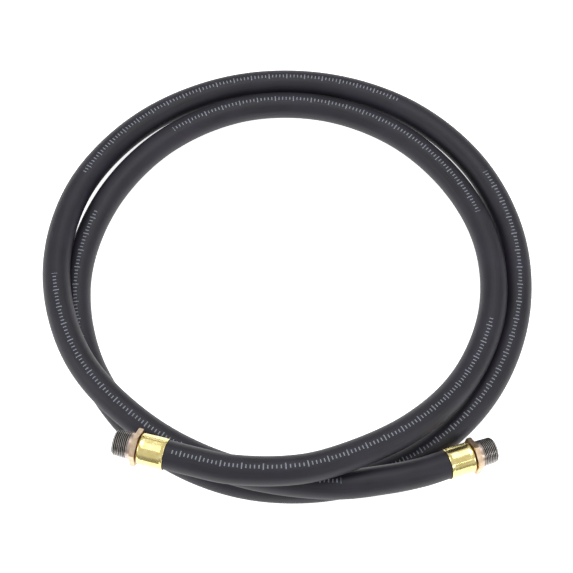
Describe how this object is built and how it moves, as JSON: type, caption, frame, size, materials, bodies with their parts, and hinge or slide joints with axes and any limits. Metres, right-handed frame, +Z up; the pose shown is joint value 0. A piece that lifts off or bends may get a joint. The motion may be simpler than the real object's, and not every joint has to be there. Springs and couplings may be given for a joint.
{
  "type": "fuel hose",
  "caption": "Coiled black rubber fuel hose, lying in loose turns, with a crimped brass ferrule and a hex-collared male taper-threaded end on each end.",
  "frame": {"origin": "middle of the coil's outline on the floor that the hose lies on", "axes": "+Z up out of the coil's plane, +X to the right with both couplings on the near side at -Y, seen from the near side"},
  "size_m": [0.5122, 0.5057, 0.0881],
  "materials": {
    "rubber": "satin",
    "ferrule": "polished",
    "threaded_end": "satin, bronze collar and silvery thread"
  },
  "bodies": {
    "root": {"hose": "rubber", "ferrule_left": "ferrule", "ferrule_right": "ferrule", "threaded_end_left": "threaded_end", "threaded_end_right": "threaded_end"}
  },
  "joints": []
}
